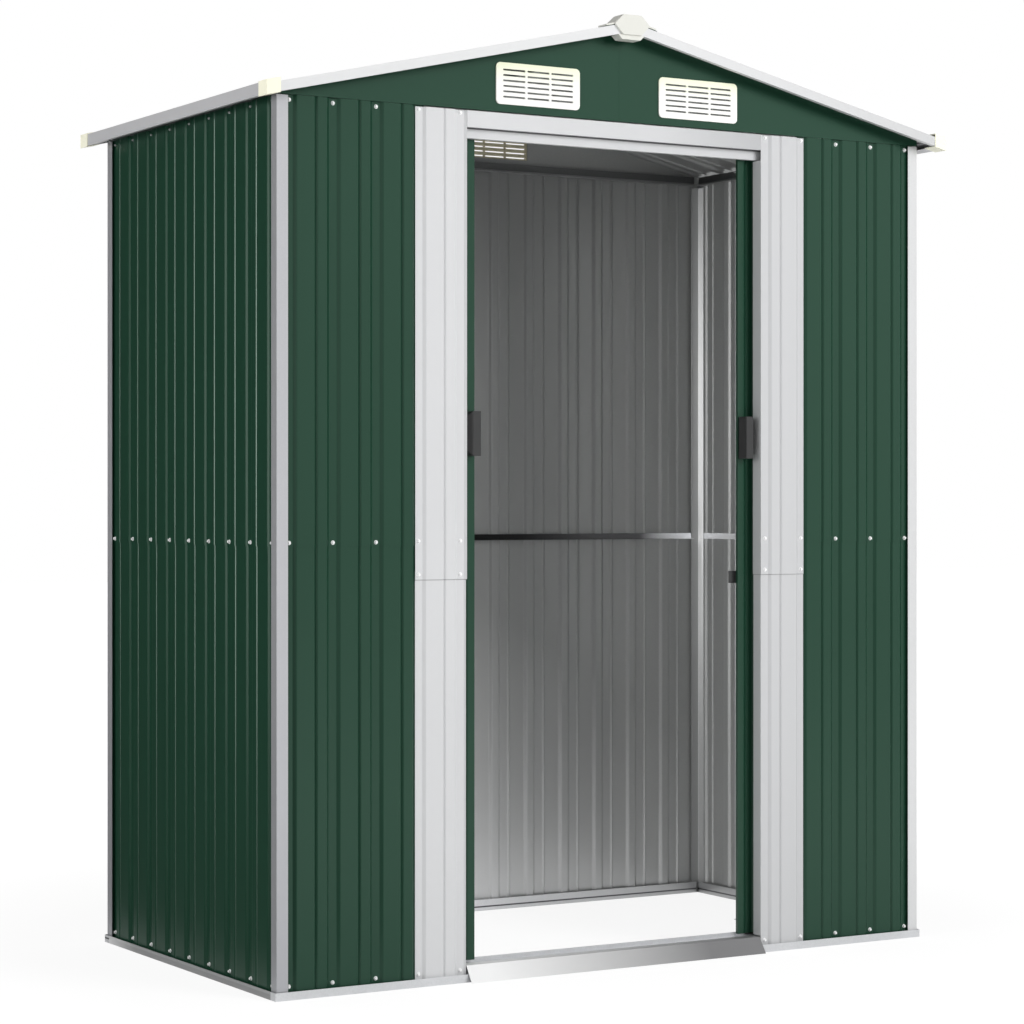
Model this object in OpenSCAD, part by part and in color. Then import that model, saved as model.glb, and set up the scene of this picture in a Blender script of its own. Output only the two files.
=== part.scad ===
// Metal storage shed with two sliding doors, a gable roof and louvred gable vents.
// Millimetres, +Z up, -Y is the door side, origin on the ground under the middle of the shed.

/* [Overall] */
// Width over the outer faces of the corner posts
wall_w = 1801; // [1700:1:2200]
// Depth over the outer faces of the corner posts
wall_d = 970; // [900:1:1400]
// Height of the wall sheets above the ground
wall_h = 2008; // [1850:1:2200]
// Slope of each half of the roof in degrees
roof_pitch = 12.85; // [10:0.05:18]
// Reach of the roof past the side walls
side_overhang = 48; // [42:1:70]
// Reach of the roof past the front and back walls
end_overhang = 53; // [48:1:80]

/* [Sheet metal] */
// Thickness of every sheet and rail
sheet_t = 1.2; // [0.9:0.1:1.4]
// Gap left between two pieces that are fixed together
fit_gap = 0.3; // [0.2:0.05:0.4]
// Distance between the valleys of the wall sheets
rib_pitch = 109; // [100:1:118]
// Width of the flat bottom of a valley
valley_w = 20; // [14:1:26]
// Depth of a valley
rib_d = 6; // [4:0.5:7]
// Width of the sloping side of a valley
flank_w = 7; // [4:0.5:8]
// Width of the small groove between two valleys
groove_w = 8; // [6:0.5:12]
// Depth of the small groove between two valleys
groove_d = 3.5; // [2:0.5:4]
// Distance from a valley to the groove after it
groove_at = 65; // [45:1:70]
// Distance from a valley of a side wall to the groove behind it
side_groove_at = 72; // [50:1:76]
// Distance of the first valley of a side wall from the front
side_valley_front = 38.4; // [34:0.2:44]
// Distance of the last valley of a side wall from the back
side_valley_back = 32; // [30:0.5:44]
// Gap between the end of a front or back sheet and the side wall
end_gap = 4; // [3:0.5:6]
// Gap between the end of a side sheet and the front or back wall
side_end_gap = 2.5; // [2:0.5:4]
// Height of the lower edge of the upper wall sheets
seam_z = 1004; // [900:1:1100]
// Height by which the lower sheet reaches up behind the upper one
lap_h = 20; // [14:1:40]

/* [Corner posts] */
// Width of each leg of a corner post
post_leg = 28; // [24:1:36]
// Height by which a corner post stays under the wall tops
post_drop = 2; // [1:0.5:6]
// Width of each leg of the angle inside a corner
angle_leg = 25; // [20:1:30]
// Height by which an inner angle stays under the top rails
angle_drop = 6; // [4:1:12]

/* [Base rails] */
// Reach of the base rails past the corner posts
rail_out = 5; // [3:0.5:8]
// Height of the outer lip of a base rail
rail_lip_h = 18.6; // [14:0.2:20]
// Height of the inner lip of a base rail
rail_inner_h = 30; // [22:1:34]
// Width of a base rail over both lips
rail_w = 26; // [24:1:30]

/* [Wall rails] */
// Height of a rail inside the walls
bar_h = 16; // [12:1:24]
// Width of the leg that a rail turns into the room
bar_leg = 15; // [10:1:18]
// Height by which the top rails start under the wall tops
top_bar_drop = 9; // [6:1:28]
// Height by which the middle rails start under the seam of the sheets
mid_bar_drop = 3; // [0:1:8]
// Gap between the end of a rail and the piece round the corner
bar_gap = 1.5; // [1:0.5:3]

/* [Doorway] */
// Clear width between the two door jambs
doorway_w = 830; // [760:1:860]
// Width of the front face of a door jamb
jamb_w = 133; // [125:1:140]
// Distance of the valley of a jamb from the edge of the doorway
jamb_valley = 15.5; // [15:0.5:22]
// Width by which a wall sheet reaches behind a jamb
jamb_lap = 21; // [16:1:24]
// Depth of the return of a door jamb beside the doorway
jamb_return = 34.5; // [30:0.5:36]
// Height of the lower edge of the upper jamb sheet
jamb_seam_z = 926; // [800:1:980]
// Height by which the header stays under the wall tops
header_drop = 3; // [2:0.5:6]
// Height of the header face over the doorway
header_h = 38; // [30:1:48]
// Height of the recessed lip under the header face
track_lip_h = 23; // [18:1:30]
// Depth of that lip behind the front of the upper track
track_step = 12; // [8:1:14]
// Gap between the ledge of the upper track and the front of the doors
ledge_gap = 6; // [5:0.5:8]
// Depth of the cover that the upper track has over the doors
track_cover = 21; // [18:1:28]
// Height of the hem along the back of that cover
track_hem = 19; // [12:1:22]
// Gap between the door tracks and the inner corner angles
track_gap = 5; // [3:1:8]

/* [Sill] */
// Height of the flat of the lower door track
track_floor_z = 36; // [34.8:0.2:42]
// Height by which the guide lip stands over the lower track
guide_lip_h = 10; // [8:0.5:14]
// Depth of the leg under the guide lip
lip_leg = 24; // [12:1:28]
// Gap between the guide lip and the back of the doors
lip_gap = 6.3; // [6:0.1:8]
// Reach of the ramp in front of the corner posts
ramp_out = 21; // [16:1:60]
// Distance of the top edge of the ramp behind the front of the posts
ramp_in = 5; // [2:1:10]

/* [Doors] */
// Width of one sliding door
door_w = 440; // [425:1:445]
// Distance of a leading edge from the jamb when the door is open
door_show = 42; // [41:1:60]
// Gap between a door and the jamb return in front of it
door_gap = 5.5; // [5:0.1:7]
// Gap between a door and the track floor under it
door_lift = 7; // [5.5:0.5:9]
// Height by which a door reaches up behind the upper ledge
door_rise = 5; // [3:0.5:8]
// Width of the flat edge beside the first valley of a door
door_edge = 19; // [14:1:26]
// Depth of the folded edge of a door
door_fold = 8; // [4:0.5:9]
// Height of a rail on the back of a door
door_bar_h = 30; // [24:1:40]
// Distance of the outer door rails from the ends of the door
door_bar_in = 4; // [3:0.5:8]
// Length of a door runner or guide
runner_l = 40; // [30:1:60]
// Distance of the runners from the edges of a door
runner_in = 50; // [40:1:90]
// Thickness of the plate of a runner
runner_t = 3; // [2:0.5:4]
// Height of the middle of the door handles
handle_z = 1262; // [1000:1:1400]
// Height of a door handle
handle_h = 103; // [80:1:130]
// Width of a door handle
handle_w = 32; // [26:1:34]
// Depth of a door handle
handle_d = 34; // [28:1:36]
// Width of the bevel round a door handle
handle_bevel = 11.5; // [8:0.5:13]
// Distance of a handle from the leading edge of its door
handle_in = 2; // [1:0.5:6]
// Thickness of the walls round the finger opening of a handle
handle_wall = 4; // [3:0.5:6]
// Height of the middle of the latch tab
latch_z = 920; // [700:1:950]
// Height of the latch tab
latch_h = 30; // [20:1:40]
// Reach of the latch tab past the leading edge of the door
latch_out = 17; // [10:1:25]
// Thickness of the latch tab
latch_t = 2; // [1.5:0.5:3]

/* [Gable vents] */
// Width of a vent plate
vent_w = 228; // [180:1:240]
// Height of a vent plate
vent_h = 97; // [80:1:100]
// Distance of a vent from the middle of the gable
vent_x = 226; // [200:1:260]
// Height of the lower edge of a vent over the wall sheets
vent_rise = 17.5; // [12:0.5:24]
// Corner radius of a vent plate
vent_r = 11; // [6:1:16]
// Thickness of a vent plate
vent_t = 4; // [3:0.5:6]
// Number of slots above each other in a vent
vent_rows = 6; // [4:1:7]
// Number of slots beside each other in a vent
vent_cols = 3; // [2:1:4]
// Height of one vent slot
slot_h = 4.4; // [3:0.2:6]
// Height by which a slot climbs on its way through the plate
slot_climb = 1.6; // [0:0.2:2.4]
// Width of the plain border beside the slots
vent_side = 19; // [18:1:24]
// Height of the plain border over and under the slots
vent_border = 15; // [14:0.5:18]
// Width by which the cut-out of the gable stays inside the plate
vent_seat = 12; // [8:0.5:12]
// Width of the bar between two slots side by side
slot_bar = 6; // [4:1:10]

/* [Roof trim] */
// Height of the trim along the slopes
rake_h = 23; // [20:1:28]
// Height of the trim along the eaves
eave_h = 29; // [26:1:34]
// Width of the folded edge of the trim
trim_fold = 24; // [15:1:32]
// Distance of the slope trim from the middle of the ridge
rake_start = 8; // [5:1:12]
// Width of the shelf of the eave trim under the roof sheet
eave_shelf = 30; // [26:1:40]
// Distance from a valley of the roof to the groove beside it
roof_groove_at = 72; // [60:1:80]
// Width of one wing of the ridge cap
ridge_wing = 75; // [55:1:110]
// Width of a roof corner cap
corner_cap_w = 32; // [26:1:40]
// Depth of a roof corner cap
corner_cap_d = 41; // [34:1:48]
// Wall thickness of the plastic caps
cap_t = 1.8; // [1.2:0.1:2.4]
// Width of a ridge end cap
end_cap_w = 97; // [80:1:110]
// Height of a ridge end cap
end_cap_h = 58; // [54:1:66]
// Height from the top of a ridge end cap to its widest place
end_cap_mid = 23; // [18:1:26]
// Height of the chin under the face of a ridge end cap
chin_h = 11; // [6:1:13]
// Depth of that chin under the trims
chin_d = 30; // [20:1:40]
// Thickness of the face of a ridge end cap
end_cap_t = 7; // [5:0.5:9]
// Height of the hood of a ridge end cap over the ridge cap
hood_h = 14; // [12:0.5:20]
// Depth of that hood
hood_d = 36; // [28:1:50]
// Reach of that hood past the face of the cap
hood_wing = 21; // [10:1:26]
// Thickness of that hood at its edges
hood_t = 4; // [2:0.5:6]
// Height of the ridge beam under the roof
beam_h = 40; // [30:1:60]
// Width of the ridge beam
beam_w = 36; // [24:1:60]

/* [Hidden] */
$fn = 48;
half_w = wall_w / 2;
half_d = wall_d / 2;
step = sheet_t + fit_gap;

// Depths of the wall layers behind the outer faces of the posts
upper_y = sheet_t + 2 * fit_gap;
lower_y = upper_y + step;
wall_in_y = lower_y + rib_d + sheet_t;
bar_y = wall_in_y + fit_gap;
top_bar_z = wall_h - top_bar_drop;
mid_bar_z = seam_z - mid_bar_drop;
end_x = half_w - wall_in_y - end_gap;
end_y = half_d - wall_in_y - side_end_gap;
floor_z = step;
valley_front = doorway_w / 2 + jamb_valley;
side_count = round(wall_d / rib_pitch);
side_pitch = (wall_d - side_valley_front - side_valley_back) / (side_count - 1);
back_pitch = 2 * end_x / round(2 * end_x / rib_pitch);

// Doorway values
door_half = doorway_w / 2;
jamb_out = door_half + jamb_w;
door_y = half_d - jamb_return - door_gap;
door_back_y = door_y - rib_d - sheet_t;
door_bar_y = door_back_y - fit_gap;
lead_x = door_half - door_show;
trail_x = lead_x + door_w;
header_top = wall_h - header_drop;
header_z = header_top - header_h;
track_z = header_z - track_lip_h;
track_half = half_w - bar_y - angle_leg - track_gap;
track_y = half_d - upper_y - rib_d - step;
track_lip_y = track_y - track_step;
track_edge_y = door_y + ledge_gap;
ledge_z = track_z + sheet_t;
door_z0 = track_floor_z + door_lift;
door_z1 = track_z + door_rise;
lip_y = door_back_y - lip_gap;
ramp_z = track_floor_z + step;
runner_gap = 1.5;
low_track_y = half_d - wall_in_y - 2 * fit_gap;

// Roof values
slope = tan(roof_pitch);
cosp = cos(roof_pitch);
eave_x = half_w + side_overhang;
end_y_roof = half_d + end_overhang;
ridge_low = wall_h + half_w * slope;
rake_n = rake_h * cosp;
roof_top_n = rake_n - step;
roof_low_n = roof_top_n - rib_d - sheet_t;
roof_len = (eave_x - sheet_t - fit_gap) / cosp - roof_top_n * slope;
roof_count = round(2 * half_d / rib_pitch) - 1;
roof_rib = (wall_d - 2 * sheet_t) / roof_count;
ridge_top_n = rake_n + step;
gable_z = wall_h + fit_gap;

// Depth of the ribbed sheet at one place along it
function rib_dep(u, v0, p, g) =
  let (m = u - v0 - p * floor((u - v0) / p), a = valley_w / 2, b = a + flank_w, h = groove_w / 2)
  m < a ? rib_d :
  m < b ? rib_d * (b - m) / flank_w :
  m < g - h ? 0 :
  m < g ? groove_d * (m - g + h) / h :
  m < g + h ? groove_d * (g + h - m) / h :
  m < p - b ? 0 :
  m < p - a ? rib_d * (m - p + b) / flank_w : rib_d;

// Points of the ribbed line from u0 to u1
function rib_line(u0, u1, v0, p, g) =
  let (a = valley_w / 2, b = a + flank_w, h = groove_w / 2, k0 = floor((u0 - v0) / p) - 1,
    k1 = ceil((u1 - v0) / p) + 1)
  concat([[u0, rib_dep(u0, v0, p, g)]],
    [for (k = [k0 : k1], c = [-b, -a, a, b, g - h, g, g + h]) let (u = v0 + k * p + c)
      if (u > u0 + 0.4 && u < u1 - 0.4) [u, rib_dep(u, v0, p, g)]],
    [[u1, rib_dep(u1, v0, p, g)]]);

// Closed outline of a line of points thickened in its second direction
function thick(pts, t) =
  concat(pts, [for (i = [len(pts) - 1 : -1 : 0]) [pts[i][0], pts[i][1] + t]]);

// Ribbed sheet standing on a wall that faces -Y, its crests at depth y
module wall_sheet(u0, u1, v0, p, g, y, z0, z1) {
  translate([0, y, z0])
    linear_extrude(z1 - z0)
      polygon(thick(rib_line(u0, u1, v0, p, g), sheet_t));
}

// Moves a front-facing wall to one of the four sides
module front() {
  translate([0, -half_d, 0]) children();
}

module back() {
  rotate([0, 0, 180]) translate([0, -half_d, 0]) children();
}

module left() {
  rotate([0, 0, -90]) translate([0, -half_w, 0]) children();
}

module right() {
  mirror([1, 0, 0]) left() children();
}

// Frame of one roof half: X runs down the slope, Z stands off it
module slope_right() {
  translate([0, 0, ridge_low]) rotate([0, roof_pitch, 0]) children();
}

module slope_left() {
  mirror([1, 0, 0]) slope_right() children();
}

// Extrudes a Y-Z outline along X from x0 to x1
module along_x(x0, x1) {
  translate([x0, 0, 0]) rotate([90, 0, 90]) linear_extrude(x1 - x0) children();
}

// Extrudes an X-Z outline along Y from y0 to y1
module along_y(y0, y1) {
  translate([0, y1, 0]) rotate([90, 0, 0]) linear_extrude(y1 - y0) children();
}

// Outline of a box in two directions
module rect(a0, b0, a1, b1) {
  translate([a0, b0]) square([a1 - a0, b1 - b0]);
}

module box(x0, y0, z0, x1, y1, z1) {
  translate([x0, y0, z0]) cube([x1 - x0, y1 - y0, z1 - z0]);
}

// Base rails: open channels, the long ones closed at their ends
module long_rail(inner_h) {
  color("gainsboro") {
    along_x(-half_w - rail_out, half_w + rail_out)
      union() {
        rect(-rail_out, 0, rail_w - rail_out, sheet_t);
        rect(-rail_out, 0, sheet_t - rail_out, rail_lip_h);
      }
    box(-half_w + rail_w, rail_w - rail_out - sheet_t, 0,
      half_w - rail_w, rail_w - rail_out, inner_h);
    for (s = [-1, 1])
      translate([s * (half_w + rail_out - sheet_t / 2), rail_w / 2 - rail_out, rail_lip_h / 2])
        cube([sheet_t, rail_w, rail_lip_h], center = true);
  }
}

module side_rail() {
  y = half_d - rail_w + rail_out - fit_gap;
  color("gainsboro")
    along_x(-y, y)
      union() {
        rect(-rail_out, 0, rail_w - rail_out, sheet_t);
        rect(-rail_out, 0, sheet_t - rail_out, rail_lip_h);
        rect(rail_w - rail_out - sheet_t, 0, rail_w - rail_out, rail_inner_h);
      }
}

module base_rail_front() {
  front() long_rail(track_floor_z - step);
}

module base_rail_back() {
  back() long_rail(rail_inner_h);
}

module base_rail_left() {
  left() side_rail();
}

module base_rail_right() {
  right() side_rail();
}

// Door ramp: a bent plate from the ground up to the lower track
module door_ramp() {
  run = ramp_out + ramp_in;
  side_t = sheet_t * sqrt(run * run + ramp_z * ramp_z) / ramp_z;
  foot = -half_d - ramp_out;
  top = foot + run;
  color("silver")
    along_x(-door_half + 2 * fit_gap, door_half - 2 * fit_gap)
      polygon([[foot, 0], [top, ramp_z], [-half_d + jamb_return, ramp_z],
        [-half_d + jamb_return, ramp_z - sheet_t],
        [foot + side_t + (ramp_z - sheet_t) * run / ramp_z, ramp_z - sheet_t], [foot + side_t, 0]]);
}

// Lower door track: floor, front leg and the lip that the door guides run over
module lower_door_track() {
  color("gainsboro")
    along_x(-track_half, track_half)
      union() {
        rect(-low_track_y, track_floor_z - sheet_t, -lip_y + sheet_t, track_floor_z);
        rect(-low_track_y, floor_z, -low_track_y + sheet_t, track_floor_z);
        rect(-lip_y, track_floor_z - lip_leg, -lip_y + sheet_t, track_floor_z + guide_lip_h);
      }
}

// Corner posts: angles over the sheet edges
module corner_post() {
  color("silver")
    translate([0, 0, floor_z])
      linear_extrude(wall_h - post_drop - floor_z)
        union() {
          square([post_leg, sheet_t]);
          square([sheet_t, post_leg]);
        }
}

module corner_post_front_left() {
  translate([-half_w, -half_d, 0]) corner_post();
}

module corner_post_front_right() {
  mirror([1, 0, 0]) corner_post_front_left();
}

module corner_post_back_left() {
  mirror([0, 1, 0]) corner_post_front_left();
}

module corner_post_back_right() {
  mirror([1, 0, 0]) corner_post_back_left();
}

// Angles inside the four corners, behind the wall sheets
module inner_corner_angles() {
  color("silver")
    for (a = [0, 1], b = [0, 1])
      mirror([a, 0, 0])
        mirror([0, b, 0])
          translate([-half_w + bar_y, -half_d + bar_y, floor_z])
            linear_extrude(top_bar_z - angle_drop - floor_z)
              union() {
                square([angle_leg, sheet_t]);
                square([sheet_t, angle_leg]);
              }
}

// Wall sheets: the upper ones lap over the lower ones
module front_sheet(u0, u1, y, z0, z1) {
  v = u0 < 0 ? -valley_front : valley_front;
  color("darkolivegreen")
    front() wall_sheet(u0, u1, v, rib_pitch, groove_at, y, z0, z1);
}

module front_wall_left_lower() {
  front_sheet(-end_x, -jamb_out + jamb_lap, lower_y, floor_z, seam_z + lap_h);
}

module front_wall_left_upper() {
  front_sheet(-end_x, -jamb_out + jamb_lap, upper_y, seam_z, wall_h);
}

module front_wall_right_lower() {
  front_sheet(jamb_out - jamb_lap, end_x, lower_y, floor_z, seam_z + lap_h);
}

module front_wall_right_upper() {
  front_sheet(jamb_out - jamb_lap, end_x, upper_y, seam_z, wall_h);
}

module side_sheet(y, z0, z1) {
  color("darkolivegreen")
    wall_sheet(-end_y, end_y, half_d - side_valley_front, side_pitch, side_pitch - side_groove_at, y, z0, z1);
}

module left_wall_lower() {
  left() side_sheet(lower_y, floor_z, seam_z + lap_h);
}

module left_wall_upper() {
  left() side_sheet(upper_y, seam_z, wall_h);
}

module right_wall_lower() {
  right() side_sheet(lower_y, floor_z, seam_z + lap_h);
}

module right_wall_upper() {
  right() side_sheet(upper_y, seam_z, wall_h);
}

module back_sheet(y, z0, z1) {
  color("darkolivegreen")
    back() wall_sheet(-end_x, end_x, -end_x, back_pitch, groove_at, y, z0, z1);
}

module back_wall_lower() {
  back_sheet(lower_y, floor_z, seam_z + lap_h);
}

module back_wall_upper() {
  back_sheet(upper_y, seam_z, wall_h);
}

// Rails inside the walls at half height
module mid_rail(reach) {
  along_x(-reach, reach)
    union() {
      rect(bar_y, mid_bar_z, bar_y + sheet_t, mid_bar_z + bar_h);
      rect(bar_y, mid_bar_z, bar_y + bar_leg, mid_bar_z + sheet_t);
    }
}

module mid_rails() {
  color("silver") {
    left() mid_rail(half_d - bar_y - angle_leg - bar_gap);
    right() mid_rail(half_d - bar_y - angle_leg - bar_gap);
    back() mid_rail(half_w - bar_y - angle_leg - bar_gap);
  }
}

// Rails inside the wall tops, under the roof sheets and behind the back gable
module top_rail(reach, top) {
  along_x(-reach, reach)
    union() {
      rect(bar_y, top_bar_z, bar_y + sheet_t, top);
      rect(bar_y, top_bar_z, bar_y + bar_leg, top_bar_z + sheet_t);
    }
}

module top_rails() {
  side_top = wall_h + bar_y * slope + roof_low_n / cosp - fit_gap;
  color("silver") {
    left() top_rail(half_d - bar_y - bar_gap, side_top);
    right() top_rail(half_d - bar_y - bar_gap, side_top);
    back() top_rail(half_w - bar_y - bar_leg - bar_gap, side_top);
  }
}

// Door jambs: ribbed white sheets with a return beside the doorway
module jamb_sheet(inset, z0, z1, r0, r1) {
  x = door_half + inset;
  y = inset + rib_dep(-x, -valley_front, rib_pitch, groove_at) + sheet_t - 0.05;
  color("white") {
    front() wall_sheet(-jamb_out, -x, -valley_front, rib_pitch, groove_at, inset, z0, z1);
    box(-x - sheet_t, -half_d + y, r0, -x, -half_d + jamb_return, r1);
  }
}

module jamb_left_pair() {
  jamb_sheet(0, jamb_seam_z, header_top, jamb_seam_z, track_z - 2);
  jamb_sheet(step, floor_z, jamb_seam_z + lap_h, ramp_z + 2, jamb_seam_z + lap_h);
}

module door_jamb_left() {
  jamb_left_pair();
}

module door_jamb_right() {
  mirror([1, 0, 0]) jamb_left_pair();
}

// Header face over the doorway, folded back at its top and bottom
module door_header() {
  y0 = -half_d + fit_gap;
  y1 = -track_y - fit_gap;
  color("white")
    along_x(-door_half + fit_gap, door_half - fit_gap)
      union() {
        rect(y0, header_z, y0 + sheet_t, header_top);
        rect(y0, header_top - sheet_t, y1, header_top);
        rect(y0, header_z, y1, header_z + sheet_t);
      }
}

// Upper door track: a channel behind the header with the ledge that the door runners ride on
module upper_door_track() {
  top = header_top - sheet_t - fit_gap;
  rear = -door_y + track_cover;
  color("white")
    along_x(-track_half, track_half)
      union() {
        rect(-track_y, header_z, -track_y + sheet_t, top);
        rect(-track_y, header_z, -track_lip_y, header_z + sheet_t);
        rect(-track_lip_y - sheet_t, track_z, -track_lip_y, header_z + sheet_t);
        rect(-track_lip_y - sheet_t, track_z, -track_edge_y, ledge_z);
        rect(-track_y, top - sheet_t, rear, top);
        rect(rear - sheet_t, top - track_hem, rear, top);
      }
}

// Gable sheets: two halves meet in the middle, each cut out behind its vent
function roof_under(x) = ridge_low - x * slope + roof_low_n / cosp - fit_gap;

module gable_half() {
  z = wall_h + vent_rise;
  color("darkolivegreen") {
    difference() {
      along_y(-half_d, -half_d + sheet_t)
        polygon([[fit_gap / 2, gable_z], [half_w, gable_z], [half_w, roof_under(half_w)],
          [fit_gap / 2, roof_under(0)]]);
      box(vent_x - vent_w / 2 + vent_seat, -half_d - 1, z + vent_seat,
        vent_x + vent_w / 2 - vent_seat, -half_d + sheet_t + 1, z + vent_h - vent_seat);
    }
    box(fit_gap / 2, -half_d, gable_z, half_w, -half_d + bar_y - fit_gap, gable_z + sheet_t);
  }
}

module gable_front_right() {
  gable_half();
}

module gable_front_left() {
  mirror([1, 0, 0]) gable_half();
}

module gable_back_right() {
  mirror([0, 1, 0]) gable_half();
}

module gable_back_left() {
  mirror([1, 0, 0]) gable_back_right();
}

// Vents: rounded plates with rows of slots that climb inwards, so that rain runs out
module vent_slot(x, y, z, w) {
  rise = slot_climb / vent_t;
  along_x(x, x + w)
    polygon([[y - 1, z - rise], [y - 1, z + slot_h - rise], [y + vent_t + 1, z + slot_h + slot_climb + rise],
      [y + vent_t + 1, z + slot_climb + rise]]);
}

module vent_plate() {
  z = wall_h + vent_rise;
  x0 = vent_x - vent_w / 2;
  y0 = -half_d - fit_gap - vent_t;
  slot_w = (vent_w - 2 * vent_side - (vent_cols - 1) * slot_bar) / vent_cols;
  row = (vent_h - 2 * vent_border - slot_h) / (vent_rows - 1);
  difference() {
    along_y(y0, y0 + vent_t)
      union() {
        rect(x0 + vent_r, z, x0 + vent_w - vent_r, z + vent_h);
        rect(x0, z + vent_r, x0 + vent_w, z + vent_h - vent_r);
        for (a = [x0 + vent_r, x0 + vent_w - vent_r], b = [z + vent_r, z + vent_h - vent_r])
          translate([a, b]) circle(vent_r);
      }
    for (i = [0 : vent_cols - 1], j = [0 : vent_rows - 1])
      vent_slot(x0 + vent_side + i * (slot_w + slot_bar), y0, z + vent_border + j * row, slot_w);
  }
}

module gable_vents() {
  color("ivory")
    for (a = [0, 1], b = [0, 1])
      mirror([a, 0, 0])
        mirror([0, b, 0])
          vent_plate();
}

// Ridge beam: a channel from gable to gable under the roof sheets
module ridge_beam() {
  x = beam_w / 2;
  top = roof_under(x);
  y = half_d - sheet_t - fit_gap;
  color("silver")
    along_y(-y, y)
      difference() {
        rect(-x, top - beam_h, x, top);
        rect(-x + sheet_t, top - beam_h - 1, x - sheet_t, top - sheet_t);
      }
}

// Roof sheets: ribs run down the slope, a valley lies on each gable
module roof_half() {
  y = end_y_roof - sheet_t - fit_gap;
  line = rib_line(-y, y, -half_d + sheet_t, roof_rib, roof_groove_at);
  pts = [for (p = line) [p[0], roof_top_n - p[1]]];
  color("darkolivegreen")
    along_x(fit_gap, roof_len)
      polygon(thick(pts, -sheet_t));
}

module roof_right() {
  slope_right() roof_half();
}

module roof_left() {
  slope_left() roof_half();
}

// Trim along the four slopes: a channel over the edge of the roof sheet
module rake_trim() {
  y = end_y_roof;
  color("white")
    along_x(rake_start, (eave_x - sheet_t - fit_gap) / cosp - rake_n * slope)
      union() {
        rect(-y, 0, -y + sheet_t, rake_n);
        rect(-y, rake_n - sheet_t, -y + trim_fold, rake_n);
        rect(-y, 0, -y + trim_fold / 2, sheet_t);
      }
}

module rake_trims() {
  for (a = [0, 1], b = [0, 1])
    mirror([a, 0, 0])
      mirror([0, b, 0])
        slope_right() rake_trim();
}

// Trim along the eaves: a face with a shelf under the roof sheet
module eave_trim() {
  z = ridge_low - eave_x * slope;
  shelf = roof_low_n / cosp - fit_gap;
  y = end_y_roof - trim_fold / 2 - fit_gap;
  edge = eave_x - sheet_t / 2;
  color("silver") {
    along_y(-y, y)
      union() {
        rect(eave_x - sheet_t, z + sheet_t / 2, eave_x, z + eave_h);
        polygon([[eave_x, z + fit_gap], [eave_x, z + sheet_t],
          [eave_x - trim_fold, z + sheet_t + trim_fold * slope], [eave_x - trim_fold, z + trim_fold * slope]]);
      }
    along_y(-y + trim_fold / 2, y - trim_fold / 2)
      polygon([[edge, z + shelf], [eave_x - eave_shelf, z + shelf + eave_shelf * slope],
        [eave_x - eave_shelf, z + shelf + eave_shelf * slope - sheet_t], [edge, z + shelf - sheet_t]]);
  }
}

module eave_trims() {
  eave_trim();
  mirror([1, 0, 0]) eave_trim();
}

// Ridge cap: a folded strip over both roof halves
function ridge_z(x, n) = ridge_low - x * slope + n / cosp;

module ridge_cap() {
  w = ridge_wing * cosp;
  color("darkolivegreen")
    along_y(-end_y_roof, end_y_roof)
      polygon([[-w, ridge_z(w, ridge_top_n)], [0, ridge_z(0, ridge_top_n)], [w, ridge_z(w, ridge_top_n)],
        [w, ridge_z(w, rake_n + fit_gap)], [0, ridge_z(0, rake_n + fit_gap)],
        [-w, ridge_z(w, rake_n + fit_gap)]]);
}

// Corner caps: plastic covers where the two trims meet
module corner_cap() {
  z = ridge_low - eave_x * slope;
  xo = eave_x + fit_gap;
  xi = eave_x - corner_cap_w;
  yo = -end_y_roof - fit_gap;
  yi = -end_y_roof + corner_cap_d;
  rise = (xo - xi) * slope;
  color("ivory")
    difference() {
      along_y(yo - cap_t, yi)
        polygon([[xi, z + rise - fit_gap - cap_t], [xo + cap_t, z - fit_gap - cap_t - cap_t * slope],
          [xo + cap_t, z + eave_h + fit_gap + cap_t], [xi, z + eave_h + rise + fit_gap + cap_t]]);
      along_y(yo, yi + 1)
        polygon([[xi - 1, z + rise - fit_gap], [xo, z - fit_gap], [xo, z + eave_h + fit_gap],
          [xi - 1, z + eave_h + rise + fit_gap]]);
    }
}

module roof_corner_caps() {
  for (a = [0, 1], b = [0, 1])
    mirror([a, 0, 0])
      mirror([0, b, 0])
        corner_cap();
}

// Ridge end caps: a six-sided face, a hood over the ridge cap and a chin under the trims
module ridge_end_cap() {
  w = end_cap_w / 2;
  narrow = w * 0.52;
  seat = ridge_z(0, ridge_top_n) + fit_gap;
  top = seat + hood_h;
  mid = top - end_cap_mid;
  low = top - end_cap_h;
  wing = w + hood_wing;
  y0 = -end_y_roof - fit_gap;
  color("ivory") {
    along_y(y0 - end_cap_t, y0)
      polygon([[-narrow, low + chin_h], [narrow, low + chin_h], [w, mid], [narrow, top], [-narrow, top],
        [-w, mid]]);
    along_y(y0 - sheet_t, y0 + hood_d)
      polygon([[0, seat], [wing, seat - wing * slope], [wing, seat - wing * slope + hood_t],
        [w, seat - w * slope + hood_t], [narrow, top], [-narrow, top], [-w, seat - w * slope + hood_t],
        [-wing, seat - wing * slope + hood_t], [-wing, seat - wing * slope]]);
    along_y(y0 - sheet_t, y0 + chin_d)
      polygon([[-narrow, low], [narrow, low], [w * 0.75, ridge_z(w * 0.75, -fit_gap)],
        [0, ridge_z(0, -fit_gap)], [-w * 0.75, ridge_z(w * 0.75, -fit_gap)]]);
  }
}

module ridge_end_caps() {
  ridge_end_cap();
  mirror([0, 1, 0]) ridge_end_cap();
}

// Doors: ribbed sheets with folded edges, the right one the mirror of the left one
module door_panel() {
  v = -lead_x - door_edge - flank_w - valley_w / 2;
  color("darkolivegreen") {
    translate([0, -door_y, 0])
      wall_sheet(-trail_x, -lead_x, v, rib_pitch, groove_at, 0, door_z0, door_z1);
    for (x = [-trail_x, -lead_x - sheet_t])
      box(x, -door_y, door_z0, x + sheet_t, -door_y + door_fold, door_z1);
  }
}

module left_door_panel() {
  door_panel();
}

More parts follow.
